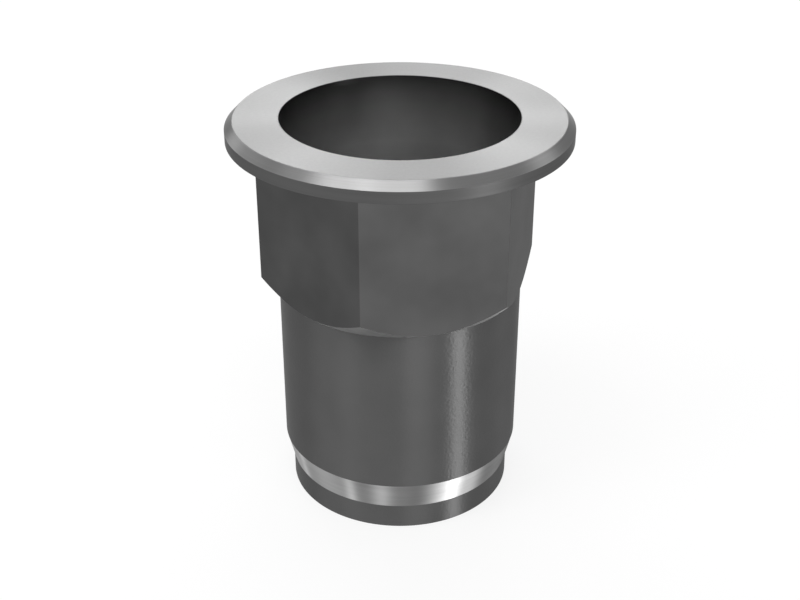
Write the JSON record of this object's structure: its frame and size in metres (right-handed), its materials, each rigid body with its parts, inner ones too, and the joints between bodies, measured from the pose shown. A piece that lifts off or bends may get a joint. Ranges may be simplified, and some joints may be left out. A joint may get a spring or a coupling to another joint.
{
  "type": "hex threaded insert",
  "caption": "Flanged blind threaded insert: round flange, hexagonal upper body, round shank with a tapered pilot end, open chamber above a tapped bore.",
  "frame": {"origin": "centre of the lower end face, on the surface the insert stands on", "axes": "+Z along the bore axis towards the flange; two of the six flats face -Y and +Y, and two corners of the hexagon lie on X"},
  "size_m": [0.015, 0.015, 0.0181],
  "materials": {
    "zinc_plated_steel": "satin grey zinc plate over turned and pressed steel, brighter on the flange's face, chamfer and taper"
  },
  "bodies": {
    "root": {"threaded_insert": "zinc_plated_steel"}
  },
  "joints": []
}
